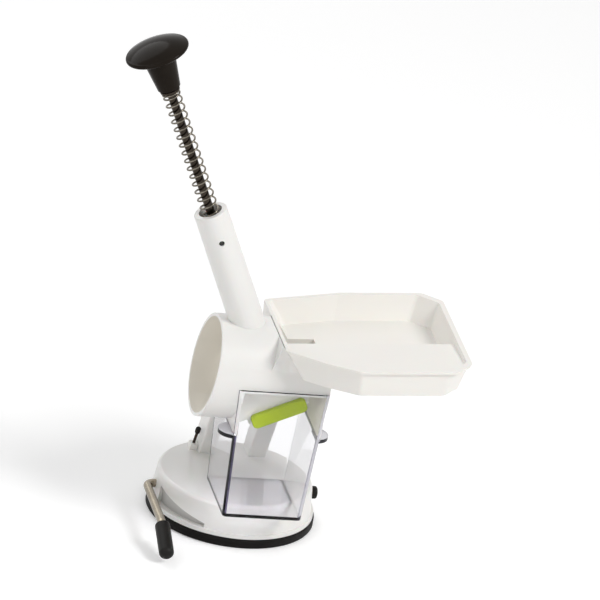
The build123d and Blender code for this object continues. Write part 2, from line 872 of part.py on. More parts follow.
# Stripper ring that holds the cherry back when the punch returns
with BuildPart() as stripper:
    with BuildSketch(plunger_plane.offset(tube_foot_height)):
        Circle(stripper_diameter / 2)
        Circle(stripper_hole_diameter / 2, mode=Mode.SUBTRACT)
    extrude(amount=stripper_thickness)
write(stripper.part, "stripper")

# Plunger rod with a groove for the stop clip and a socket for the punch tip
rod_low = punch_low + punch_length
rod_high = knob_low + knob_rod_depth
groove_depth = 0.6
with BuildPart() as plunger_rod:
    with BuildSketch(plunger_plane.offset(rod_low)):
        Circle(rod_diameter / 2)
    extrude(amount=rod_high - rod_low)
    with BuildSketch(plunger_plane.offset(clip_low - touch)):
        Circle(rod_diameter / 2 + 1)
        Circle(rod_diameter / 2 - groove_depth, mode=Mode.SUBTRACT)
    extrude(amount=clip_thickness + 2 * touch, mode=Mode.SUBTRACT)
    with BuildSketch(plunger_plane.offset(rod_low)):
        Circle(punch_spigot_diameter / 2 + touch)
    extrude(amount=punch_spigot_length + touch, mode=Mode.SUBTRACT)
write(plunger_rod.part, "plunger_rod")

# Punch tip: crossed grooves leave four teeth that push the stone out
with BuildPart() as punch_tip:
    with BuildSketch(plunger_plane.offset(punch_low)):
        Circle(rod_diameter / 2)
    extrude(amount=punch_length)
    with BuildSketch(plunger_plane.offset(rod_low)):
        Circle(punch_spigot_diameter / 2)
    extrude(amount=punch_spigot_length)
    with BuildSketch(plunger_plane.offset(punch_low)):
        Rectangle(rod_diameter + 1, punch_groove)
        Rectangle(punch_groove, rod_diameter + 1)
    extrude(amount=punch_groove, mode=Mode.SUBTRACT)
write(punch_tip.part, "punch_tip")

# Stop clip: an open ring in the rod's groove that meets the bush at the top of the stroke
with BuildPart() as stop_clip:
    with BuildSketch(plunger_plane.offset(clip_low)):
        Circle(clip_diameter / 2)
        Circle(rod_diameter / 2 - groove_depth + touch, mode=Mode.SUBTRACT)
        with Locations((clip_diameter / 2, 0)):
            Rectangle(clip_diameter, rod_diameter * 0.7, mode=Mode.SUBTRACT)
    extrude(amount=clip_thickness)
write(stop_clip.part, "stop_clip")

# Washer between the spring and the knob
washer_low = knob_low - washer_thickness
with BuildPart() as spring_washer:
    with BuildSketch(plunger_plane.offset(washer_low)):
        Circle(washer_diameter / 2)
        Circle(rod_diameter / 2 + touch, mode=Mode.SUBTRACT)
    extrude(amount=washer_thickness)
write(spring_washer.part, "spring_washer")

# Knob: a conical neck under a low domed cap, bored for the rod and its insert nut
neck_top = knob_low + knob_neck_length
cap_top = neck_top + knob_cap_height
cap_radius = knob_cap_diameter / 2
edge_top = neck_top + knob_cap_edge
with BuildPart() as knob:
    with BuildSketch(lean_side_plane):
        with BuildLine():
            Polyline(
                (0, cap_top),
                (0, knob_low),
                (knob_neck_low_diameter / 2 - knob_neck_chamfer, knob_low),
                (knob_neck_low_diameter / 2, knob_low + knob_neck_chamfer),
                (knob_neck_high_diameter / 2, neck_top),
                (cap_radius - knob_cap_lip, neck_top),
            )
            ThreePointArc(
                (cap_radius - knob_cap_lip, neck_top),
                (cap_radius, (neck_top + edge_top) / 2),
                (cap_radius - knob_cap_lip, edge_top),
            )
            TangentArc((0, cap_top), (cap_radius - knob_cap_lip, edge_top), tangent=(1, 0))
        make_face()
    revolve(axis=plunger_axis)
    with BuildSketch(plunger_plane.offset(knob_low)):
        Circle(rod_diameter / 2 + touch)
    extrude(amount=knob_rod_depth + touch, mode=Mode.SUBTRACT)
    with BuildSketch(plunger_plane.offset(knob_low)):
        Circle(knob_nut_diameter / 2 + touch)
    extrude(amount=knob_nut_length + touch, mode=Mode.SUBTRACT)
write(knob.part, "knob")
with BuildPart() as knob_nut:
    with BuildSketch(plunger_plane.offset(knob_low)):
        Circle(knob_nut_diameter / 2)
        Circle(rod_diameter / 2 + touch, mode=Mode.SUBTRACT)
    extrude(amount=knob_nut_length)
write(knob_nut.part, "knob_nut")

# Return spring: one wire wound from the bush to the washer, its end coils drawn closer
coil_radius = (spring_diameter - spring_wire) / 2
coil_start = bush_high + spring_wire / 2 + touch
coil_rise = washer_low - bush_high - spring_wire - 2 * touch
end_turns = 0.75
blend_middle = end_turns + 0.5
body_pitch = spring_end_pitch + (coil_rise - spring_end_pitch * spring_coils) / (
    spring_coils - 2 * blend_middle
)


def blended(u):
    # A smooth step and its running sum, for the change from end pitch to body pitch
    if u <= 0:
        return 0, 0
    if u >= 1:
        return 1, u - 0.5
    return u * u * (3 - 2 * u), u**3 - u**4 / 2


def coil_point(turn):
    low_step, low_sum = blended(turn - end_turns)
    high_step, high_sum = blended(turn - spring_coils + end_turns + 1)
    spread = body_pitch - spring_end_pitch
    height = coil_start + spring_end_pitch * turn + spread * (low_sum - high_sum)
    pitch = spring_end_pitch + spread * (low_step - high_step)
    angle = 2 * math.pi * turn
    across, up = plunger_plane.x_dir, plunger_plane.z_dir
    outward = across * math.cos(angle) + plunger_plane.y_dir * math.sin(angle)
    around = plunger_plane.y_dir * math.cos(angle) - across * math.sin(angle)
    place = plunger_plane.origin + up * height + outward * coil_radius
    way = around * coil_radius + up * (pitch / 2 / math.pi)
    return place, way.normalized()


arcs = []
with BuildPart() as return_spring:
    with BuildLine() as coil_path:
        for step in range(2 * spring_coils):
            start, start_way = coil_point(step / 2)
            end, end_way = coil_point((step + 1) / 2)
            span = end - start
            both = start_way + end_way
            square = 2 * (start_way.dot(end_way) - 1)
            half = span.dot(both)
            length = (half - math.sqrt(half * half - square * span.dot(span))) / square
            near = start + start_way * length
            far = end - end_way * length
            middle = (near + far) / 2
            arcs.append(TangentArc(start, middle, tangent=start_way))
            arcs.append(TangentArc(middle, end, tangent=far - near))
    first_place, first_way = coil_point(0)
    with BuildSketch(Plane(origin=first_place, x_dir=plunger_plane.x_dir, z_dir=first_way)):
        Circle(spring_wire / 2)
    sweep(path=coil_path.line)
write(return_spring.part, "return_spring")

# Least gap between the wire's turns, measured on points of arcs about one turn apart
samples = [[arc.position_at(place / 12) for place in range(13)] for arc in arcs]
least = min(
    (point - other).length
    for low in range(len(arcs) - 5)
    for high in range(low + 3, low + 6)
    for point in samples[low]
    for other in samples[high]
)
print(f"spring: least gap between turns {least - spring_wire:.3f} mm")

# Seat insert: a bar with rounded ends in front, a body on two tongues, a cup for the cherry
insert_half = insert_thickness / 2
body_front = insert_front + insert_head_depth
with BuildPart() as seat_insert:
    with BuildSketch(lean_side_plane.offset(head_y - insert_front)):
        with Locations((0, insert_head_rise / 2)):
            RectangleRounded(insert_length, insert_thickness + insert_head_rise, 3.2)
    extrude(amount=-insert_head_depth)
    fillet(seat_insert.faces().sort_by(Axis.Y)[0].edges(), 0.9)
    with BuildSketch(lean_side_plane.offset(head_y - body_front)):
        Rectangle(2 * (rail_inner - insert_play), insert_thickness)
        Rectangle(2 * (rail_outer - insert_play), tongue_thickness)
    extrude(amount=body_front - insert_back)
    with BuildSketch(plunger_plane.offset(insert_half)):
        Circle(insert_cup_diameter / 2)
    extrude(amount=-insert_cup_depth, taper=12, mode=Mode.SUBTRACT)
    with BuildSketch(plunger_plane.offset(insert_half - insert_cup_depth)):
        Circle(membrane_diameter / 2 + touch)
    extrude(amount=-membrane_thickness, mode=Mode.SUBTRACT)
    with BuildSketch(plunger_plane.offset(-insert_thickness)):
        Circle(insert_hole_diameter / 2)
    extrude(amount=2 * insert_thickness, mode=Mode.SUBTRACT)
write(seat_insert.part, "seat_insert")

# Rubber membrane in the cup, pierced for the punch
with BuildPart() as seat_membrane:
    with BuildSketch(plunger_plane.offset(insert_half - insert_cup_depth)):
        Circle(membrane_diameter / 2)
        Circle(membrane_hole_diameter / 2, mode=Mode.SUBTRACT)
    extrude(amount=-membrane_thickness)
write(seat_membrane.part, "seat_membrane")


# Cherry tray: every level of its outline comes from the rim, drawn in by the draft
rim_left = -slant * tray_height
near_slope = (tray_mouth_near - tray_near_bend_y) / (tray_near_bend_x - rim_left)
far_slope = (tray_width_far - tray_mouth_far) / (tray_far_start - rim_left)


def tray_block(low, high, inset, corner_round):
    with BuildPart(mode=Mode.PRIVATE) as block:
        for height in (low, high):
            drawn = tray_draft * (1 - height / tray_height) + inset
            near_drawn = tray_near_draft * (1 - height / tray_height) + inset
            left = inset - slant * height
            right = tray_length - drawn
            near = tray_width_near + near_drawn
            far = tray_width_far - drawn
            far_start = tray_far_start - drawn / 2
            bend_x = tray_near_bend_x + near_drawn / 2
            bend_y = tray_near_bend_y + near_drawn
            with BuildSketch(tray_plane.offset(height)) as level:
                with BuildLine():
                    Polyline(
                        (left, far - far_slope * (far_start - left)),
                        (left, bend_y + near_slope * (bend_x - left)),
                        (bend_x, bend_y),
                        (tray_near_start + near_drawn / 2, near),
                        (right - tray_corner, near),
                        (right, near + tray_corner),
                        (right, far - tray_corner),
                        (right - tray_corner, far),
                        (far_start, far),
                        close=True,
                    )
                make_face()
                fillet(level.vertices(), corner_round)
        loft(ruled=True)
    return block.part


shelf_slope = math.atan2(shelf_rise, shelf_edge_y - tray_width_near)
shelf_plane = Plane(
    origin=tray_plane.from_local_coords((0, shelf_edge_y, shelf_height)),
    x_dir=tray_plane.x_dir,
    z_dir=tray_plane.z_dir * math.cos(shelf_slope) + tray_plane.y_dir * math.sin(shelf_slope),
)
step_slope = math.atan2(channel_floor_y - shelf_edge_y, shelf_height - tray_wall)
step_plane = Plane(
    origin=tray_plane.from_local_coords((0, channel_floor_y, tray_wall)),
    x_dir=tray_plane.x_dir,
    z_dir=tray_plane.y_dir * math.cos(step_slope) + tray_plane.z_dir * math.sin(step_slope),
)
collar_right = inlet_length - gap
collar_width = inlet_width - 2 * gap
# Upright cheek and end web of the tray beside the tube, shaped to the barrel
with BuildPart() as tray_cheek:
    with BuildSketch(tray_side_plane.offset(-tray_mouth_far)):
        with BuildLine():
            Polyline(
                (rim_left, tray_height),
                (rim_left, cheek_low),
                (tray_wall - slant * cheek_low, cheek_low),
                (tray_wall + rim_left, tray_height),
                close=True,
            )
        make_face()
    extrude(amount=tray_wall)
    with BuildSketch(tray_side_plane.offset(-tray_mouth_far)):
        with BuildLine():
            Polyline(
                (rim_left, tray_height),
                (rim_left, cheek_low),
                (rim_left + tray_wall, cheek_low),
                (rim_left + tray_wall, tray_height),
                close=True,
            )
        make_face()
    extrude(amount=cheek_length)
    with BuildSketch(Plane.YZ.offset(-reach / 2)):
        with Locations((head_y, barrel_z)):
            Circle(barrel_radius + gap)
    extrude(amount=reach, mode=Mode.SUBTRACT)

with BuildPart() as hopper_tray:
    add(tray_block(0, tray_height, 0, tray_corner_round))
    add(tray_block(tray_height - rim_thickness, tray_height, -rim_width, tray_corner_round))
    add(tray_space(-gap), mode=Mode.INTERSECT)
    add(
        split(
            tray_block(tray_wall, tray_height + 1, tray_wall, tray_corner_round - tray_wall),
            bisect_by=step_plane,
            keep=Keep.TOP,
            mode=Mode.PRIVATE,
        ),
        mode=Mode.SUBTRACT,
    )
    add(
        split(
            tray_block(tray_wall, tray_height + 1, tray_wall, tray_corner_round - tray_wall),
            bisect_by=shelf_plane,
            keep=Keep.TOP,
            mode=Mode.PRIVATE,
        ),
        mode=Mode.SUBTRACT,
    )
    add(
        split(
            split(
                tray_block(-1, tray_height, tray_wall, tray_corner_round - tray_wall),
                bisect_by=shelf_plane.offset(-tray_wall),
                keep=Keep.BOTTOM,
                mode=Mode.PRIVATE,
            ),
            bisect_by=step_plane.offset(-tray_wall),
            keep=Keep.BOTTOM,
            mode=Mode.PRIVATE,
        ),
        mode=Mode.SUBTRACT,
    )
    add(tray_cheek.part)
    # Drain into the housing, with a collar round three of its sides
    with BuildSketch(tray_plane.offset(tray_wall)):
        with Locations((collar_right, head_y)):
            Rectangle(collar_right, collar_width, align=(Align.MAX, Align.CENTER))
    extrude(amount=-tray_wall - spigot_depth)
    with BuildSketch(tray_side_plane.offset(spigot_wall - head_y - collar_width / 2)):
        with BuildLine():
            Polyline(
                (collar_right - spigot_wall, -2 * spigot_depth),
                (collar_right - spigot_wall, tray_wall + 1),
                (tray_wall, inlet_height),
                (-tray_height, inlet_height),
                (-tray_height, -2 * spigot_depth),
                close=True,
            )
        make_face()
    extrude(amount=collar_width - 2 * spigot_wall, mode=Mode.SUBTRACT)
write(hopper_tray.part, "hopper_tray")


# Clear pit box: a drafted shell, its front wall tall, its side and back walls cut lower
def box_block(low, inset):
    with BuildPart(mode=Mode.PRIVATE) as block:
        for z in (low, box_front_top):
            side_spread = (z - box_bottom_z) * math.tan(math.radians(box_side_draft)) - inset
            front_spread = (z - box_bottom_z) * math.tan(math.radians(box_front_draft)) - inset
            with BuildSketch(Plane.XY.offset(z)) as level:
                with BuildLine():
                    Polyline(
                        (box_left - side_spread, box_front - front_spread),
                        (box_right + side_spread, box_front - front_spread),
                        (box_right + side_spread, box_back - inset),
                        (box_left - side_spread, box_back - inset),
                        close=True,
                    )
                make_face()
                fillet(level.vertices(), box_corner - inset)
        loft(ruled=True)
    return block.part


front_lean = math.tan(math.radians(box_front_draft))
inner_front = box_front + box_wall - (box_side_top - box_bottom_z) * front_lean
ear_middle = inner_front + ear_length / 2 + 1
side_lean = math.tan(math.radians(box_side_draft))
ear_spread = (box_side_top - ear_thickness - box_bottom_z) * side_lean
with BuildPart() as pit_container:
    add(box_block(box_bottom_z, 0))
    with BuildSketch(Plane.YZ.offset(-reach / 2)):
        with BuildLine():
            Polyline(
                (inner_front, box_side_top),
                (inner_front - reach * front_lean, box_side_top + reach),
                (reach, box_side_top + reach),
                (reach, box_side_top),
                close=True,
            )
        make_face()
    extrude(amount=reach, mode=Mode.SUBTRACT)
    for side, wall_x in ((-1, box_left - ear_spread), (1, box_right + ear_spread)):
        with BuildSketch(Plane.XY.offset(box_side_top - ear_thickness)):
            with BuildLine():
                ThreePointArc(
                    (wall_x, ear_middle - ear_length / 2),
                    (wall_x + side * ear_reach, ear_middle),
                    (wall_x, ear_middle + ear_length / 2),
                )
                Polyline(
                    (wall_x, ear_middle + ear_length / 2),
                    (wall_x - side * box_wall / 2, ear_middle + ear_length / 2),
                    (wall_x - side * box_wall / 2, ear_middle - ear_length / 2),
                    (wall_x, ear_middle - ear_length / 2),
                )
            make_face()
        extrude(amount=ear_thickness)
    add(box_block(box_bottom_z + box_wall, box_wall), mode=Mode.SUBTRACT)
write(pit_container.part, "pit_container")
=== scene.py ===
import bpy
import bmesh
import math
from mathutils import Matrix, Vector


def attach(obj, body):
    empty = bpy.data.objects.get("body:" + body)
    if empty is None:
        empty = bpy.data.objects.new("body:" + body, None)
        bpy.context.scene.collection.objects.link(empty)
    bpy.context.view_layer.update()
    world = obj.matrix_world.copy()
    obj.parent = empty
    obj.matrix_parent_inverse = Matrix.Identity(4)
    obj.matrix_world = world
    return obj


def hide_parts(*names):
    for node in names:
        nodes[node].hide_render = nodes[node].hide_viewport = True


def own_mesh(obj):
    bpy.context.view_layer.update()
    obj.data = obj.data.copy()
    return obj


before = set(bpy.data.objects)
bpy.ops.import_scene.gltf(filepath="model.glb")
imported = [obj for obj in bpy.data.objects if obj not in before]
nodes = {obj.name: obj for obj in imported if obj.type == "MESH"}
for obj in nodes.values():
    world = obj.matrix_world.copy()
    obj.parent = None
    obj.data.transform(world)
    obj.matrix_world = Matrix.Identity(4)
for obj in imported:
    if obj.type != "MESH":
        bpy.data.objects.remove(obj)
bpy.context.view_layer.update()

# Camera: it looks from the front left and a little above, through a very long lens, and is
# rolled as the printed picture is, so that upright lines lean to the right.
view_azimuth = math.radians(-14.7)
view_elevation = math.radians(23.6)
view_roll = math.radians(9.6)
view_target = Vector((0.0155, -0.030, 0.167))
view_span = 0.384
camera_data = bpy.data.cameras.new("studio_camera")
camera_data.lens = 600
camera_data.sensor_width = 36
camera_distance = view_span / 2 / (camera_data.sensor_width / 2 / camera_data.lens)
camera_data.clip_start = 0.1
camera_data.clip_end = 20
camera = bpy.data.objects.new("studio_camera", camera_data)
bpy.context.scene.collection.objects.link(camera)
backward = Vector((
    math.sin(view_azimuth) * math.cos(view_elevation),
    -math.cos(view_azimuth) * math.cos(view_elevation),
    math.sin(view_elevation),
))
level_right = Vector((math.cos(view_azimuth), math.sin(view_azimuth), 0))
level_up = backward.cross(level_right)
right = level_right * math.cos(view_roll) + level_up * math.sin(view_roll)
up = level_up * math.cos(view_roll) - level_right * math.sin(view_roll)
camera.matrix_world = Matrix.Translation(view_target + backward * camera_distance) @ Matrix((
    (right.x, up.x, backward.x),
    (right.y, up.y, backward.y),
    (right.z, up.z, backward.z),
)).to_4x4()
bpy.context.scene.camera = camera
bpy.context.scene.view_settings.view_transform = "Standard"

# Studio: a plain pale floor that keeps the object's shadow, a soft world and three large lamps.
# Camera, mirror and clear-plastic rays see the floor lifted to white and a white world.
floor_mesh = bpy.data.meshes.new("studio_floor")
floor_reach = 12.0
floor_mesh.from_pydata(
    [(-floor_reach, -floor_reach, 0), (floor_reach, -floor_reach, 0),
     (floor_reach, floor_reach, 0), (-floor_reach, floor_reach, 0)],
    [], [(0, 1, 2, 3)],
)
floor = bpy.data.objects.new("studio_floor", floor_mesh)
bpy.context.scene.collection.objects.link(floor)
floor_paint = bpy.data.materials.new("pale_floor")
floor_paint.use_nodes = True
floor_tree = floor_paint.node_tree
floor_shader = floor_tree.nodes["Principled BSDF"]
floor_shader.inputs["Base Color"].default_value = (0.93, 0.93, 0.93, 1)
floor_shader.inputs["Roughness"].default_value = 0.7
floor_shader.inputs["Specular IOR Level"].default_value = 0.2
floor_lift = floor_tree.nodes.new("ShaderNodeEmission")
floor_lift.inputs["Color"].default_value = (1, 1, 1, 1)
floor_sum = floor_tree.nodes.new("ShaderNodeAddShader")


def seen_rays(tree):
    # 1 for the rays that show the background: camera, glossy and transmission rays
    rays = tree.nodes.new("ShaderNodeLightPath")
    seen = tree.nodes.new("ShaderNodeMath")
    seen.operation = "MAXIMUM"
    seen_through = tree.nodes.new("ShaderNodeMath")
    seen_through.operation = "MAXIMUM"
    tree.links.new(rays.outputs["Is Camera Ray"], seen.inputs[0])
    tree.links.new(rays.outputs["Is Glossy Ray"], seen.inputs[1])
    tree.links.new(seen.outputs[0], seen_through.inputs[0])
    tree.links.new(rays.outputs["Is Transmission Ray"], seen_through.inputs[1])
    return seen_through


floor_lift_strength = 0.22
floor_lift_amount = floor_tree.nodes.new("ShaderNodeMath")
floor_lift_amount.operation = "MULTIPLY"
floor_lift_amount.inputs[1].default_value = floor_lift_strength
floor_tree.links.new(seen_rays(floor_tree).outputs[0], floor_lift_amount.inputs[0])
floor_tree.links.new(floor_lift_amount.outputs[0], floor_lift.inputs["Strength"])
floor_tree.links.new(floor_shader.outputs[0], floor_sum.inputs[0])
floor_tree.links.new(floor_lift.outputs[0], floor_sum.inputs[1])
floor_tree.links.new(floor_sum.outputs[0], floor_tree.nodes["Material Output"].inputs["Surface"])
floor_mesh.materials.append(floor_paint)

sky_strength = 0.42
wall_strength = 1.0
world = bpy.data.worlds.new("studio_world")
bpy.context.scene.world = world
world.use_nodes = True
world_tree = world.node_tree
world_tree.nodes.clear()
world_out = world_tree.nodes.new("ShaderNodeOutputWorld")
soft_sky = world_tree.nodes.new("ShaderNodeBackground")
soft_sky.inputs["Color"].default_value = (1, 1, 1, 1)
soft_sky.inputs["Strength"].default_value = sky_strength
white_wall = world_tree.nodes.new("ShaderNodeBackground")
white_wall.inputs["Color"].default_value = (1, 1, 1, 1)
white_wall.inputs["Strength"].default_value = wall_strength
wall_share = world_tree.nodes.new("ShaderNodeMixShader")
world_tree.links.new(seen_rays(world_tree).outputs[0], wall_share.inputs["Fac"])
world_tree.links.new(soft_sky.outputs[0], wall_share.inputs[1])
world_tree.links.new(white_wall.outputs[0], wall_share.inputs[2])
world_tree.links.new(wall_share.outputs[0], world_out.inputs["Surface"])


def soft_lamp(name, place, size, power):
    # A round lamp, its size in metres and its power in watts, that faces the object
    lamp_data = bpy.data.lights.new(name, "AREA")
    lamp_data.shape = "DISK"
    lamp_data.size = size
    lamp_data.energy = power
    lamp = bpy.data.objects.new(name, lamp_data)
    bpy.context.scene.collection.objects.link(lamp)
    facing = (Vector(place) - view_target).to_track_quat("Z", "Y").to_matrix().to_4x4()
    lamp.matrix_world = Matrix.Translation(place) @ facing


soft_lamp("key_lamp", (1.2, -1.2, 1.7), size=0.9, power=28)
soft_lamp("fill_lamp", (-1.5, -1.1, 0.9), size=1.2, power=6)
soft_lamp("back_lamp", (-0.9, 1.5, 1.5), size=1.6, power=11)


# Rubber foot: one black moulding, a broad ring that seals on the table and a thin dished
# middle that the stud draws up. Matte, with the fine grain of a rubber mould.
def plain_material(name):
    # A new material with its node tree and the shader that the finish is set on
    material = bpy.data.materials.new(name)
    material.use_nodes = True
    return material, material.node_tree, material.node_tree.nodes["Principled BSDF"]


def grain(tree, shader, scale, depth):
    # Fine surface grain: noise on the piece's own coordinates drives a shallow bump. Scale is
    # in grains per metre and depth in metres.
    place = tree.nodes.new("ShaderNodeTexCoord")
    noise = tree.nodes.new("ShaderNodeTexNoise")
    noise.inputs["Scale"].default_value = scale
    noise.inputs["Detail"].default_value = 4.0
    bump = tree.nodes.new("ShaderNodeBump")
    bump.inputs["Strength"].default_value = 1.0
    bump.inputs["Distance"].default_value = depth
    tree.links.new(place.outputs["Object"], noise.inputs["Vector"])
    tree.links.new(noise.outputs["Fac"], bump.inputs["Height"])
    tree.links.new(bump.outputs["Normal"], shader.inputs["Normal"])
    return place


def mottle(tree, shader, place, socket, low, high, scale):
    # Slow unevenness of a colour or roughness, between low and high, over the surface
    thin_cloud, thick_cloud = 0.3, 0.7
    cloud = tree.nodes.new("ShaderNodeTexNoise")
    cloud.inputs["Scale"].default_value = scale
    cloud.inputs["Detail"].default_value = 3.0
    tree.links.new(place.outputs["Object"], cloud.inputs["Vector"])
    if socket == "Base Color":
        ramp = tree.nodes.new("ShaderNodeValToRGB")
        ramp.color_ramp.elements[0].position = thin_cloud
        ramp.color_ramp.elements[1].position = thick_cloud
        ramp.color_ramp.elements[0].color = (*low, 1)
        ramp.color_ramp.elements[1].color = (*high, 1)
        tree.links.new(cloud.outputs["Fac"], ramp.inputs["Fac"])
        tree.links.new(ramp.outputs["Color"], shader.inputs[socket])
    else:
        spread = tree.nodes.new("ShaderNodeMapRange")
        spread.inputs["From Min"].default_value = thin_cloud
        spread.inputs["From Max"].default_value = thick_cloud
        spread.inputs["To Min"].default_value = low
        spread.inputs["To Max"].default_value = high
        tree.links.new(cloud.outputs["Fac"], spread.inputs["Value"])
        tree.links.new(spread.outputs["Result"], shader.inputs[socket])


def finished_mesh(piece):
    # The plain mesh that a piece's modifiers make of it
    bpy.context.view_layer.update()
    seen_piece = piece.evaluated_get(bpy.context.evaluated_depsgraph_get())
    return bpy.data.meshes.new_from_object(seen_piece)


def moulded_copy(node, body, edge, material, steps=2, weld=0):
    # A merged copy of a CAD solid whose sharp edges get the small radius, edge, that its mould
    # leaves. Weld closes the slits that the radius opens where three tiny edges meet.
    same_point = 2e-6
    same_plane = math.radians(0.3)
    rounded_corner = math.radians(38)
    seen_corner = math.radians(32)
    shell = bmesh.new()
    shell.from_mesh(nodes[node].data)
    bmesh.ops.remove_doubles(shell, verts=shell.verts, dist=same_point)
    bmesh.ops.dissolve_limit(
        shell, angle_limit=same_plane, verts=shell.verts, edges=shell.edges
    )
    bmesh.ops.recalc_face_normals(shell, faces=shell.faces)
    merged = bpy.data.meshes.new(node + "_merged")
    shell.to_mesh(merged)
    shell.free()
    piece = bpy.data.objects.new(node + "_moulded", merged)
    bpy.context.scene.collection.objects.link(piece)
    radius = piece.modifiers.new("mould_radius", "BEVEL")
    radius.width = edge
    radius.segments = steps
    radius.limit_method = "ANGLE"
    radius.angle_limit = rounded_corner
    radius.use_clamp_overlap = True
    finished = finished_mesh(piece)
    piece.modifiers.clear()
    if weld:
        shell = bmesh.new()
        shell.from_mesh(finished)
        bmesh.ops.remove_doubles(shell, verts=shell.verts, dist=weld)
        shell.to_mesh(finished)
        shell.free()
    piece.data = finished
    piece.data.materials.clear()
    piece.data.materials.append(material)
    piece.data.polygons.foreach_set("use_smooth", [True] * len(piece.data.polygons))
    piece.data.set_sharp_from_angle(angle=seen_corner)
    flats = piece.modifiers.new("flat_faces_stay_flat", "WEIGHTED_NORMAL")
    flats.keep_sharp = True
    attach(piece, body)
    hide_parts(node)
    return piece


black_rubber, tree, shader = plain_material("black_rubber")
place = grain(tree, shader, scale=900, depth=0.00010)
mottle(tree, shader, place, "Base Color", (0.006, 0.0055, 0.005), (0.010, 0.009, 0.0085), scale=60)
mottle(tree, shader, place, "Roughness", 0.50, 0.64, scale=40)
shader.inputs["Specular IOR Level"].default_value = 0.10
moulded_copy("suction_pad", "stand", edge=0.0005, material=black_rubber)

# Base shell: a white satin moulding, hollow below, with a sunk panel in its side where the
# lever swings; the shade in the panel is painted on it as a darker grey. Column, housing and
# guide tube are the same plastic.
white_plastic, tree, shader = plain_material("white_moulding")
place = grain(tree, shader, scale=1400, depth=0.00002)
mottle(tree, shader, place, "Base Color", (0.832, 0.822, 0.797), (0.838, 0.828, 0.803), scale=30)
mottle(tree, shader, place, "Roughness", 0.29, 0.31, scale=45)
shader.inputs["Subsurface Weight"].default_value = 0.08
shader.inputs["Subsurface Scale"].default_value = 0.002
base_piece = moulded_copy("base_shell", "stand", edge=0.0004, material=white_plastic)
# Painted shade: a mid grey for the sunk panel's faces, standing in for the shade that lies in the
# panel
painted_shade_plastic, tree, shader = plain_material("white_moulding_painted_recess_shade")
place = grain(tree, shader, scale=1400, depth=0.00002)
mottle(tree, shader, place, "Base Color", (0.50, 0.495, 0.48), (0.56, 0.55, 0.53), scale=30)
mottle(tree, shader, place, "Roughness", 0.42, 0.52, scale=45)
base_piece.data.materials.append(painted_shade_plastic)
panel_inner_radius, panel_outer_radius = 0.0480, 0.0502
panel_low_z, panel_high_z = 0.0064, 0.0222
outward_share = 0.5
# The panel's faces lie deeper than the base's side and look outwards; they take the painted shade
for face in base_piece.data.polygons:
    middle = face.center
    outward = Vector((middle.x, middle.y, 0)).normalized()
    from_axis = math.hypot(middle.x, middle.y)
    on_panel = (panel_inner_radius < from_axis < panel_outer_radius
                and panel_low_z < middle.z < panel_high_z)
    if on_panel and face.normal.dot(outward) > outward_share:
        face.material_index = 1

# Suction lever: one drawn steel rod, bent into a crank whose cross shaft runs through the
# base, with a black grip pushed over its tail and a cap on the shaft's far end.
lever_steel, tree, shader = plain_material("lever_steel")
place = grain(tree, shader, scale=700, depth=0.000006)
mottle(tree, shader, place, "Base Color", (0.27, 0.235, 0.18), (0.34, 0.30, 0.235), scale=90)
mottle(tree, shader, place, "Roughness", 0.18, 0.28, scale=120)
shader.inputs["Metallic"].default_value = 1.0
moulded_copy("lever_rod", "lever", edge=0.0003, material=lever_steel)
matte_black, tree, shader = plain_material("matte_black")
place = grain(tree, shader, scale=1000, depth=0.00005)
mottle(tree, shader, place, "Base Color", (0.008, 0.0075, 0.007), (0.013, 0.012, 0.011), scale=60)
mottle(tree, shader, place, "Roughness", 0.34, 0.46, scale=60)
shader.inputs["Specular IOR Level"].default_value = 0.14
moulded_copy("lever_grip", "lever", edge=0.0006, material=matte_black, steps=3)
moulded_copy("shaft_end_cap", "lever", edge=0.0004, material=matte_black)

# Cam and lift stud: natural, slightly milky plastic, hidden in the base. The cam is pressed
# on the lever's shaft; the stud's yoke goes round it and its disc sits in the rubber foot.
milky_plastic, tree, shader = plain_material("milky_plastic")
place = grain(tree, shader, scale=1200, depth=0.00003)
mottle(tree, shader, place, "Base Color", (0.60, 0.60, 0.56), (0.66, 0.66, 0.62), scale=50)
mottle(tree, shader, place, "Roughness", 0.42, 0.52, scale=60)
moulded_copy("cam", "lever", edge=0.0002, material=milky_plastic)
moulded_copy("lift_stud", "stud", edge=0.0002, material=milky_plastic, weld=4e-5)

# Column: one white moulding of two legs, joined behind the barrel and screwed to the base
# below and to the housing above.
moulded_copy("column", "stand", edge=0.0006, material=white_plastic)

# Screws: four self-tapping steel screws up through the base's roof into the legs, and four
# through the legs' backs into the housing. Pan heads with a cross recess, coarse thread.
screw_steel, tree, shader = plain_material("screw_steel")
place = grain(tree, shader, scale=900, depth=0.000006)
mottle(tree, shader, place, "Base Color", (0.46, 0.46, 0.46), (0.56, 0.56, 0.56), scale=150)
mottle(tree, shader, place, "Roughness", 0.24, 0.36, scale=150)
shader.inputs["Metallic"].default_value = 1.0
head_height = 0.0022


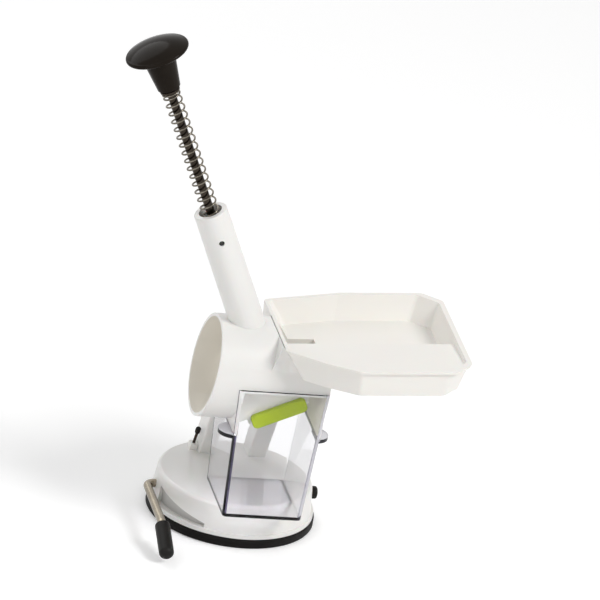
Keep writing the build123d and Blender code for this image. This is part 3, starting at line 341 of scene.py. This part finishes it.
def tapping_screw(name, length):
    # Head below the origin, shank along +Z; the thread is a helix of raised rings of vertices.
    # Each row is a ring's radius and height, from the head's rounded top to the shank.
    head_radius, core, thread, pitch = 0.0033, 0.00125, 0.00045, 0.0012
    thread_start, flank_slope, point_length, point_radius_share = 0.001, 3.2, 0.002, 0.25
    around, ring_step = 24, 0.0002
    steps = int(length / ring_step)
    rows = [(head_radius * 0.55, -head_height), (head_radius * 0.84, -head_height * 0.82),
            (head_radius * 0.97, -head_height * 0.45), (head_radius, 0.0), (core, 0.0)]
    body = bmesh.new()
    rings = [[body.verts.new((r * math.cos(2 * math.pi * k / around),
                              r * math.sin(2 * math.pi * k / around), z))
              for k in range(around)] for r, z in rows]
    for step in range(1, steps + 1):
        z = length * step / steps
        taper = min(1, (length - z) / point_length)
        ring = []
        for k in range(around):
            turn = (z / pitch - k / around) % 1
            crest = max(0, 1 - abs(turn - 0.5) * flank_slope)
            rise = thread * crest * min(1, z / thread_start)
            r = (core + rise) * (point_radius_share + (1 - point_radius_share) * taper)
            angle = 2 * math.pi * k / around
            ring.append(body.verts.new((r * math.cos(angle), r * math.sin(angle), z)))
        rings.append(ring)
    for low, high in zip(rings, rings[1:]):
        for k in range(around):
            n = (k + 1) % around
            body.faces.new((low[k], low[n], high[n], high[k]))
    body.faces.new(list(reversed(rings[0])))
    body.faces.new(rings[-1])
    bmesh.ops.recalc_face_normals(body, faces=body.faces)
    mesh = bpy.data.meshes.new(name)
    body.to_mesh(mesh)
    body.free()
    return mesh


def cross_recess(mesh):
    # Cuts the driver's cross into a screw's head and returns the cut mesh
    slot_length, slot_width, slot_depth = 0.0034, 0.00075, 0.0013
    on_head = Matrix.Translation((0, 0, -head_height))
    cutter = bmesh.new()
    for along, across in ((slot_length, slot_width), (slot_width, slot_length)):
        bmesh.ops.create_cube(
            cutter, size=1,
            matrix=on_head @ Matrix.Diagonal((along, across, 2 * slot_depth, 1)),
        )
    cutter_mesh = bpy.data.meshes.new("driver_cross")
    cutter.to_mesh(cutter_mesh)
    cutter.free()
    cross = bpy.data.objects.new("driver_cross", cutter_mesh)
    screw = bpy.data.objects.new("uncut_screw", mesh)
    for thing in (cross, screw):
        bpy.context.scene.collection.objects.link(thing)
    cut = screw.modifiers.new("recess", "BOOLEAN")
    cut.operation = "DIFFERENCE"
    cut.solver = "EXACT"
    cut.use_self = True
    cut.object = cross
    result = finished_mesh(screw)
    for thing in (cross, screw):
        bpy.data.objects.remove(thing)
    return result


def screw_row(name, node, length, turn, places):
    # Geometry Nodes put one screw at each point of a small cloud of points
    screw_mesh = cross_recess(tapping_screw(name + "_one", length))
    screw = bpy.data.objects.new(name + "_one", screw_mesh)
    bpy.context.scene.collection.objects.link(screw)
    points = bpy.data.meshes.new(name)
    points.from_pydata(places, [], [])
    piece = bpy.data.objects.new(name, points)
    bpy.context.scene.collection.objects.link(piece)
    tree = bpy.data.node_groups.new(name, "GeometryNodeTree")
    tree.interface.new_socket("Points", in_out="INPUT", socket_type="NodeSocketGeometry")
    screw_socket = tree.interface.new_socket(
        "Screw", in_out="INPUT", socket_type="NodeSocketObject"
    )
    turn_socket = tree.interface.new_socket(
        "Turn", in_out="INPUT", socket_type="NodeSocketRotation"
    )
    metal_socket = tree.interface.new_socket(
        "Metal", in_out="INPUT", socket_type="NodeSocketMaterial"
    )
    tree.interface.new_socket("Screws", in_out="OUTPUT", socket_type="NodeSocketGeometry")
    given = tree.nodes.new("NodeGroupInput")
    made = tree.nodes.new("NodeGroupOutput")
    source = tree.nodes.new("GeometryNodeObjectInfo")
    scatter = tree.nodes.new("GeometryNodeInstanceOnPoints")
    real = tree.nodes.new("GeometryNodeRealizeInstances")
    paint = tree.nodes.new("GeometryNodeSetMaterial")
    tree.links.new(given.outputs["Screw"], source.inputs["Object"])
    tree.links.new(given.outputs["Points"], scatter.inputs["Points"])
    tree.links.new(source.outputs["Geometry"], scatter.inputs["Instance"])
    tree.links.new(given.outputs["Turn"], scatter.inputs["Rotation"])
    tree.links.new(scatter.outputs["Instances"], real.inputs["Geometry"])
    tree.links.new(real.outputs["Geometry"], paint.inputs["Geometry"])
    tree.links.new(given.outputs["Metal"], paint.inputs["Material"])
    tree.links.new(paint.outputs["Geometry"], made.inputs["Screws"])
    row = piece.modifiers.new("screws", "NODES")
    row.node_group = tree
    row[screw_socket.identifier] = screw
    row[turn_socket.identifier] = turn
    row[metal_socket.identifier] = screw_steel
    plain = finished_mesh(piece)
    piece.modifiers.clear()
    piece.data = plain
    bpy.data.objects.remove(screw)
    screw_crease = math.radians(40)
    plain.polygons.foreach_set("use_smooth", [True] * len(plain.polygons))
    plain.set_sharp_from_angle(angle=screw_crease)
    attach(piece, "stand")
    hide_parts(node)


leg_middles = (-0.014, 0.019)
foot_screw_length, foot_screw_rows, roof_underside_z = 0.0138, (0.0302, 0.0374), 0.0252
housing_screw_length, housing_screw_rows, head_seat_y = 0.0118, (0.0945, 0.1045), -0.001
pointing_up, pointing_front = (0, 0, 0), (math.pi / 2, 0, 0)
screw_row("foot_tapping_screws", "foot_screws", foot_screw_length, pointing_up,
          [(x, y, roof_underside_z) for x in leg_middles for y in foot_screw_rows])
screw_row("housing_tapping_screws", "housing_screws", housing_screw_length, pointing_front,
          [(x, head_seat_y, z) for x in leg_middles for z in housing_screw_rows])

# Lock pin: a thin steel pin that leans in a lug beside the left leg, with a black tip to
# pull it by.
rod_steel, tree, shader = plain_material("dark_polished_steel")
place = grain(tree, shader, scale=700, depth=0.000006)
mottle(tree, shader, place, "Base Color", (0.035, 0.028, 0.022), (0.055, 0.045, 0.036), scale=90)
mottle(tree, shader, place, "Roughness", 0.14, 0.24, scale=120)
shader.inputs["Metallic"].default_value = 1.0
moulded_copy("lock_pin", "lock", edge=0.0002, material=rod_steel)
moulded_copy("lock_pin_tip", "lock", edge=0.0003, material=matte_black)

# Housing: one white moulding screwed to the column's legs, both the barrel that is the cherry
# chute and the hood that the pit box slides under. The light that the barrel's bore throws back
# between its own walls is painted into it as a warmer, lighter white.
housing_piece = moulded_copy("housing", "stand", edge=0.0006, material=white_plastic)
# Painted light: a warmer, lighter white for the bore's faces, standing in for the light that its
# own walls throw back
painted_bounce_light_plastic, tree, shader = plain_material("white_moulding_bore_painted_bounce_light")
place = grain(tree, shader, scale=1400, depth=0.00002)
mottle(tree, shader, place, "Base Color", (0.876, 0.836, 0.756), (0.884, 0.844, 0.764), scale=30)
mottle(tree, shader, place, "Roughness", 0.34, 0.42, scale=45)
housing_piece.data.materials.append(painted_bounce_light_plastic)
barrel_y, barrel_z, bore_radius = -0.037, 0.121, 0.0325
# The bore's faces look at the barrel's axis; they take the painted bounce light
for face in housing_piece.data.polygons:
    inward = Vector((0, barrel_y - face.center.y, barrel_z - face.center.z))
    if inward.length < bore_radius and face.normal.dot(inward) > 0:
        face.material_index = 1

# Guide tube: a slim white cone over the barrel; in its mouth the spring stands on a bush that
# a cross pin holds, and a ring at its foot strips the cherry off the punch.
moulded_copy("guide_tube", "stand", edge=0.0006, material=white_plastic)
moulded_copy("tube_bush", "stand", edge=0.0002, material=milky_plastic)
moulded_copy("stripper", "stand", edge=0.0002, material=milky_plastic)
pin_end, tree, shader = plain_material("dark_pin_end")
place = grain(tree, shader, scale=800, depth=0.00002)
mottle(tree, shader, place, "Base Color", (0.010, 0.009, 0.008), (0.018, 0.016, 0.014), scale=200)
mottle(tree, shader, place, "Roughness", 0.40, 0.55, scale=100)
moulded_copy("bush_pin", "stand", edge=0.0002, material=pin_end)

# Plunger: dark polished steel rod with a punch tip screwed to its end, a clip that stops it
# under the bush and a washer below the knob.
moulded_copy("plunger_rod", "plunger", edge=0.0002, material=rod_steel)
moulded_copy("punch_tip", "plunger", edge=0.0002, material=screw_steel)
moulded_copy("stop_clip", "plunger", edge=0.0002, material=screw_steel)
moulded_copy("spring_washer", "plunger", edge=0.0002, material=rod_steel)

# Return spring: one steel wire wound in 19 turns round the rod, its end turns closer, loose
# between bush and washer. The real spring flattens towards the bush as the plunger goes down;
# this one is wound at rest and rides on the stand.
spring_wire, tree, shader = plain_material("spring_wire")
place = grain(tree, shader, scale=900, depth=0.000006)
mottle(tree, shader, place, "Base Color", (0.14, 0.125, 0.10), (0.20, 0.18, 0.15), scale=120)
mottle(tree, shader, place, "Roughness", 0.16, 0.26, scale=120)
shader.inputs["Metallic"].default_value = 1.0
# Heights run up the plunger's leaning line from the middle of the cherry seat
lean = math.radians(25.4)
seat_centre = Vector((0.0074, -0.037, 0.0986))
line_across = Vector((math.cos(lean), 0, math.sin(lean)))
line_back = Vector((0, 1, 0))
line_up = Vector((-math.sin(lean), 0, math.cos(lean)))
wire_radius = 0.0006
coil_radius = 0.0055
coil_turns = 19
end_turns = 1.25
end_pitch = 0.0018
coil_low = 0.13225
coil_rise = 0.1003
body_pitch = end_pitch + (coil_rise - end_pitch * coil_turns) / (coil_turns - 2 * end_turns)


def risen(turn):
    # Height along the plunger line after so many turns, the pitch easing in and out
    def eased(u):
        u = max(u, 0)
        return u ** 3 - u ** 4 / 2 if u < 1 else u - 0.5
    low = eased(turn - end_turns + 0.5)
    high = eased(turn - coil_turns + end_turns + 0.5)
    return coil_low + end_pitch * turn + (body_pitch - end_pitch) * (low - high)


points_in_turn = 28
wire_points = []
for step in range(coil_turns * points_in_turn + 1):
    turn = step / points_in_turn
    angle = 2 * math.pi * turn
    wire_points.append(
        seat_centre + line_up * risen(turn)
        + (line_across * math.cos(angle) + line_back * math.sin(angle)) * coil_radius
    )
wire_path = bpy.data.meshes.new("spring_path")
wire_path.from_pydata(wire_points, [(n, n + 1) for n in range(len(wire_points) - 1)], [])
coil_spring = bpy.data.objects.new("coil_spring", wire_path)
bpy.context.scene.collection.objects.link(coil_spring)
winding = bpy.data.node_groups.new("wound_wire", "GeometryNodeTree")
winding.interface.new_socket("Path", in_out="INPUT", socket_type="NodeSocketGeometry")
radius_socket = winding.interface.new_socket(
    "Wire Radius", in_out="INPUT", socket_type="NodeSocketFloat"
)
metal_socket = winding.interface.new_socket(
    "Metal", in_out="INPUT", socket_type="NodeSocketMaterial"
)
winding.interface.new_socket("Wire", in_out="OUTPUT", socket_type="NodeSocketGeometry")
given = winding.nodes.new("NodeGroupInput")
made = winding.nodes.new("NodeGroupOutput")
line = winding.nodes.new("GeometryNodeMeshToCurve")
ring = winding.nodes.new("GeometryNodeCurvePrimitiveCircle")
ring.inputs["Resolution"].default_value = 12
tube = winding.nodes.new("GeometryNodeCurveToMesh")
tube.inputs["Fill Caps"].default_value = True
real = winding.nodes.new("GeometryNodeRealizeInstances")
paint = winding.nodes.new("GeometryNodeSetMaterial")
winding.links.new(given.outputs["Path"], line.inputs["Mesh"])
winding.links.new(given.outputs["Wire Radius"], ring.inputs["Radius"])
winding.links.new(line.outputs["Curve"], tube.inputs["Curve"])
winding.links.new(ring.outputs["Curve"], tube.inputs["Profile Curve"])
winding.links.new(tube.outputs["Mesh"], real.inputs["Geometry"])
winding.links.new(real.outputs["Geometry"], paint.inputs["Geometry"])
winding.links.new(given.outputs["Metal"], paint.inputs["Material"])
winding.links.new(paint.outputs["Geometry"], made.inputs["Wire"])
wind = coil_spring.modifiers.new("winding", "NODES")
wind.node_group = winding
wind[radius_socket.identifier] = wire_radius
wind[metal_socket.identifier] = spring_wire
wound = finished_mesh(coil_spring)
coil_spring.modifiers.clear()
coil_spring.data = wound
wire_crease = math.radians(50)
wound.polygons.foreach_set("use_smooth", [True] * len(wound.polygons))
wound.set_sharp_from_angle(angle=wire_crease)
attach(coil_spring, "stand")
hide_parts("return_spring")
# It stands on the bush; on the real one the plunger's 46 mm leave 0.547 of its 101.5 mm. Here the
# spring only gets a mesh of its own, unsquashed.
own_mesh(coil_spring)

# Knob: glossy black moulding, a waisted neck under a low dome, screwed on over a brass nut
# that is moulded into it.
gloss_black, tree, shader = plain_material("gloss_black")
place = grain(tree, shader, scale=500, depth=0.000004)
mottle(tree, shader, place, "Base Color", (0.012, 0.009, 0.0065), (0.017, 0.013, 0.0095), scale=60)
mottle(tree, shader, place, "Roughness", 0.10, 0.13, scale=40)
shader.inputs["Specular IOR Level"].default_value = 0.05
moulded_copy("knob", "plunger", edge=0.0005, material=gloss_black, steps=3)
turned_brass, tree, shader = plain_material("turned_brass")
place = grain(tree, shader, scale=900, depth=0.000006)
mottle(tree, shader, place, "Base Color", (0.58, 0.40, 0.14), (0.66, 0.47, 0.18), scale=120)
mottle(tree, shader, place, "Roughness", 0.25, 0.35, scale=120)
shader.inputs["Metallic"].default_value = 1.0
moulded_copy("knob_nut", "plunger", edge=0.0002, material=turned_brass)

# Seat insert: lime moulding that slides in from the front, its thick bar outside the barrel;
# a soft pierced membrane lies in its cup and holds the cherry.
lime_plastic, tree, shader = plain_material("lime_moulding")
place = grain(tree, shader, scale=1200, depth=0.00002)
mottle(tree, shader, place, "Base Color", (0.42, 0.55, 0.0005), (0.43, 0.56, 0.001), scale=80)
mottle(tree, shader, place, "Roughness", 0.34, 0.42, scale=60)
shader.inputs["Specular IOR Level"].default_value = 0.04
moulded_copy("seat_insert", "stand", edge=0.0005, material=lime_plastic)
moulded_copy("seat_membrane", "stand", edge=0.0001, material=milky_plastic)

# Cherry tray: one cream moulding that sits on the barrel's top right by its cheek, with a
# drain slot over the cherry seat.
cream_plastic, tree, shader = plain_material("cream_moulding")
place = grain(tree, shader, scale=1400, depth=0.00002)
mottle(tree, shader, place, "Base Color", (0.872, 0.852, 0.807), (0.880, 0.860, 0.815), scale=25)
mottle(tree, shader, place, "Roughness", 0.28, 0.36, scale=45)
shader.inputs["Subsurface Weight"].default_value = 0.08
shader.inputs["Subsurface Scale"].default_value = 0.002
moulded_copy("hopper_tray", "tray", edge=0.0006, material=cream_plastic, weld=2e-5)

# Pit box: clear moulding that stands on the base under the hood, with two ears to draw it out
# by. Light passes through it to what stands behind. The dark of the room that its front left
# and bottom edges and the ears' rims refract is painted on them as dark tints, the light lines
# on its right edges and side rims are painted highlights, and its floor and left wall carry a
# painted grey shade.
def clear_material(name, tint):
    # Its low index keeps the white room's reflection weak, so that colours behind stay full
    material, tree, shader = plain_material(name)
    place = grain(tree, shader, scale=300, depth=0.00001)
    shader.inputs["Base Color"].default_value = (*tint, 1)
    mottle(tree, shader, place, "Roughness", 0.01, 0.03, scale=60)
    shader.inputs["IOR"].default_value = 1.36
    shader.inputs["Specular IOR Level"].default_value = 0.06
    shader.inputs["Transmission Weight"].default_value = 1.0
    smoke = tree.nodes.new("ShaderNodeVolumeAbsorption")
    smoke.inputs["Color"].default_value = (0.45, 0.42, 0.55, 1)
    smoke.inputs["Density"].default_value = 16.0
    open_to_light = tree.nodes.new("ShaderNodeBsdfTransparent")
    open_to_light.inputs["Color"].default_value = (0.90, 0.90, 0.92, 1)
    light_share = tree.nodes.new("ShaderNodeMixShader")
    rays = tree.nodes.new("ShaderNodeLightPath")
    end = tree.nodes["Material Output"]
    tree.links.new(rays.outputs["Is Shadow Ray"], light_share.inputs["Fac"])
    tree.links.new(shader.outputs[0], light_share.inputs[1])
    tree.links.new(open_to_light.outputs[0], light_share.inputs[2])
    tree.links.new(light_share.outputs[0], end.inputs["Surface"])
    tree.links.new(smoke.outputs["Volume"], end.inputs["Volume"])
    return material


clear_plastic = clear_material("clear_moulding", (0.97, 0.97, 0.975))
# Painted shade: a dark violet tint for the front left and bottom edges, standing in for the dark
# of the room that they refract
painted_dark_edge = clear_material("clear_moulding_painted_dark_edge", (0.20, 0.18, 0.30))
# Painted highlight: a pale lavender, partly see-through, for the light lines along the right edges
# and the rims of the sides
painted_highlight_edge, tree, shader = plain_material("clear_moulding_painted_highlight_edge")
place = grain(tree, shader, scale=300, depth=0.00001)
mottle(tree, shader, place, "Base Color", (0.74, 0.73, 0.80), (0.80, 0.79, 0.85), scale=80)
shader.inputs["Roughness"].default_value = 0.12
shader.inputs["Transmission Weight"].default_value = 0.35
clear_box = moulded_copy("pit_container", "pit_box", edge=0.0006, material=clear_plastic, steps=3)
# Painted shade: a grey tint for the box's floor and left wall
painted_shade_wall = clear_material("clear_moulding_painted_shade", (0.88, 0.87, 0.885))
# Painted shade: a near-black tint for the ears' rims, standing in for the dark of the room that
# they refract
painted_dark_ear_rim = clear_material("clear_moulding_painted_dark_ear_rim", (0.05, 0.05, 0.06))
for finish in (painted_dark_edge, painted_highlight_edge, painted_shade_wall, painted_dark_ear_rim):
    clear_box.data.materials.append(finish)
# Slots of the painted dark, painted highlight, painted grey shade and painted dark rim finishes
painted_dark_slot, painted_highlight_slot, painted_shade_slot, painted_dark_rim_slot = 1, 2, 3, 4
box_floor_z = 0.0283
edge_reach = 0.0034
box_left_x, box_left_draft = -0.0210, 0.0437
box_right_x = 0.0310
box_front_y, box_front_draft = -0.0672, 0.0594
side_top_z = 0.0868
ear_root = 0.0004
top_band = 0.0007
square_on, nearly_square_on, corner_turn, left_turn = 0.985, 0.95, 0.3, 0.82
# The mould radii at the front left and the bottom get the painted dark, those at the right and
# the rim of the sides the painted highlight, the ears' rims the painted dark rim, and the floor
# and the left wall the painted grey shade
for face in clear_box.data.polygons:
    slope, middle = face.normal, face.center
    rise = middle.z - box_floor_z
    left_wall_x = box_left_x - box_left_draft * rise
    right_wall_x = box_right_x + box_left_draft * rise
    rounded = max(abs(slope.x), abs(slope.y), abs(slope.z)) < square_on
    at_bottom = rise < edge_reach
    at_left = middle.x < left_wall_x + edge_reach
    at_right = middle.x > right_wall_x - edge_reach
    at_front = middle.y < box_front_y - box_front_draft * rise + edge_reach
    on_ear = middle.x < left_wall_x - ear_root or middle.x > right_wall_x + ear_root
    on_side_top = abs(middle.z - side_top_z) < top_band and middle.y > box_front_y
    front_left = rounded and at_left and at_front
    on_corner = min(abs(slope.x), abs(slope.y)) > corner_turn
    if front_left and on_corner and middle.z < side_top_z:
        face.material_index = painted_dark_slot
    elif rounded and at_bottom and (at_front or at_left):
        face.material_index = painted_dark_slot
    elif front_left and middle.z > side_top_z and slope.x < -left_turn:
        face.material_index = painted_dark_slot
    elif on_ear and abs(slope.z) < square_on:
        face.material_index = painted_dark_rim_slot
    elif not on_ear and (on_side_top or rounded and at_right and (at_front or at_bottom)):
        face.material_index = painted_highlight_slot
    elif at_bottom and abs(slope.z) > nearly_square_on:
        face.material_index = painted_shade_slot
    elif at_left and abs(slope.x) > nearly_square_on:
        face.material_index = painted_shade_slot
